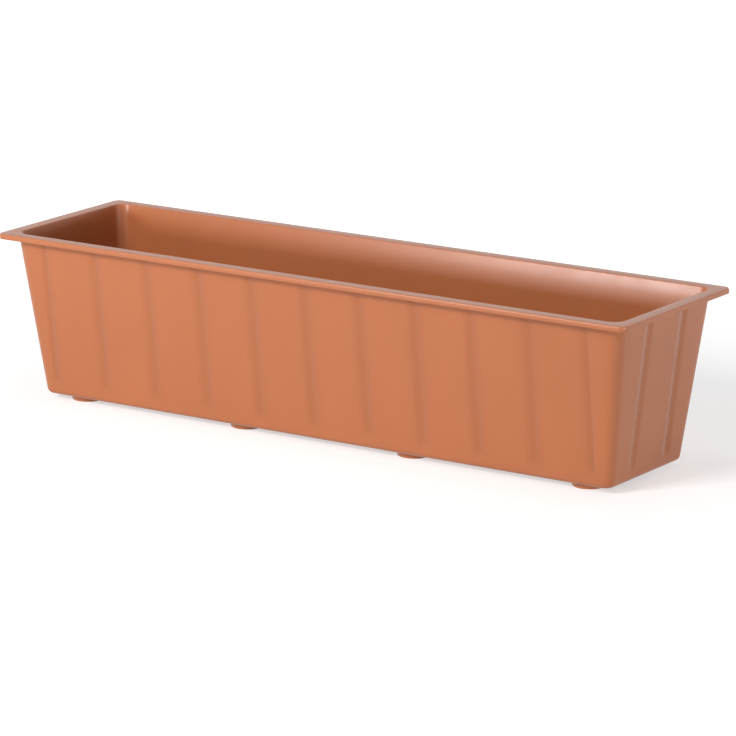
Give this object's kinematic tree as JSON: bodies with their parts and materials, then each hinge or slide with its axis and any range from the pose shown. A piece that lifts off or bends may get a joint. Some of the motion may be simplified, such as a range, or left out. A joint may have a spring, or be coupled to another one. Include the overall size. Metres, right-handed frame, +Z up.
{
  "type": "window box planter",
  "caption": "Long tapered plastic window box planter with upright board grooves, a flanged rim, round feet and pull-out drain plugs.",
  "frame": {"origin": "on the ground, under the middle of the box (bottom centre of the bounding box)", "axes": "+X along the length, -Y is the front long wall, +Z up"},
  "size_m": [0.762, 0.21, 0.18],
  "materials": {
    "terracotta_plastic": "satin moulded, terracotta",
    "plug_plastic": "soft satin, darker terracotta"
  },
  "bodies": {
    "box": {"planter_box": "terracotta_plastic"},
    "plug_1": {"drain_plug_1": "plug_plastic"},
    "plug_2": {"drain_plug_2": "plug_plastic"},
    "plug_3": {"drain_plug_3": "plug_plastic"},
    "plug_4": {"drain_plug_4": "plug_plastic"},
    "plug_5": {"drain_plug_5": "plug_plastic"},
    "plug_6": {"drain_plug_6": "plug_plastic"}
  },
  "joints": [
    {"name": "plug_1_pull", "type": "slide", "parent": "box", "child": "plug_1", "axis": [0, 0, 1], "range_m": [0, 0.03]},
    {"name": "plug_2_pull", "type": "slide", "parent": "box", "child": "plug_2", "axis": [0, 0, 1], "range_m": [0, 0.03]},
    {"name": "plug_3_pull", "type": "slide", "parent": "box", "child": "plug_3", "axis": [0, 0, 1], "range_m": [0, 0.03]},
    {"name": "plug_4_pull", "type": "slide", "parent": "box", "child": "plug_4", "axis": [0, 0, 1], "range_m": [0, 0.03]},
    {"name": "plug_5_pull", "type": "slide", "parent": "box", "child": "plug_5", "axis": [0, 0, 1], "range_m": [0, 0.03]},
    {"name": "plug_6_pull", "type": "slide", "parent": "box", "child": "plug_6", "axis": [0, 0, 1], "range_m": [0, 0.03]}
  ]
}
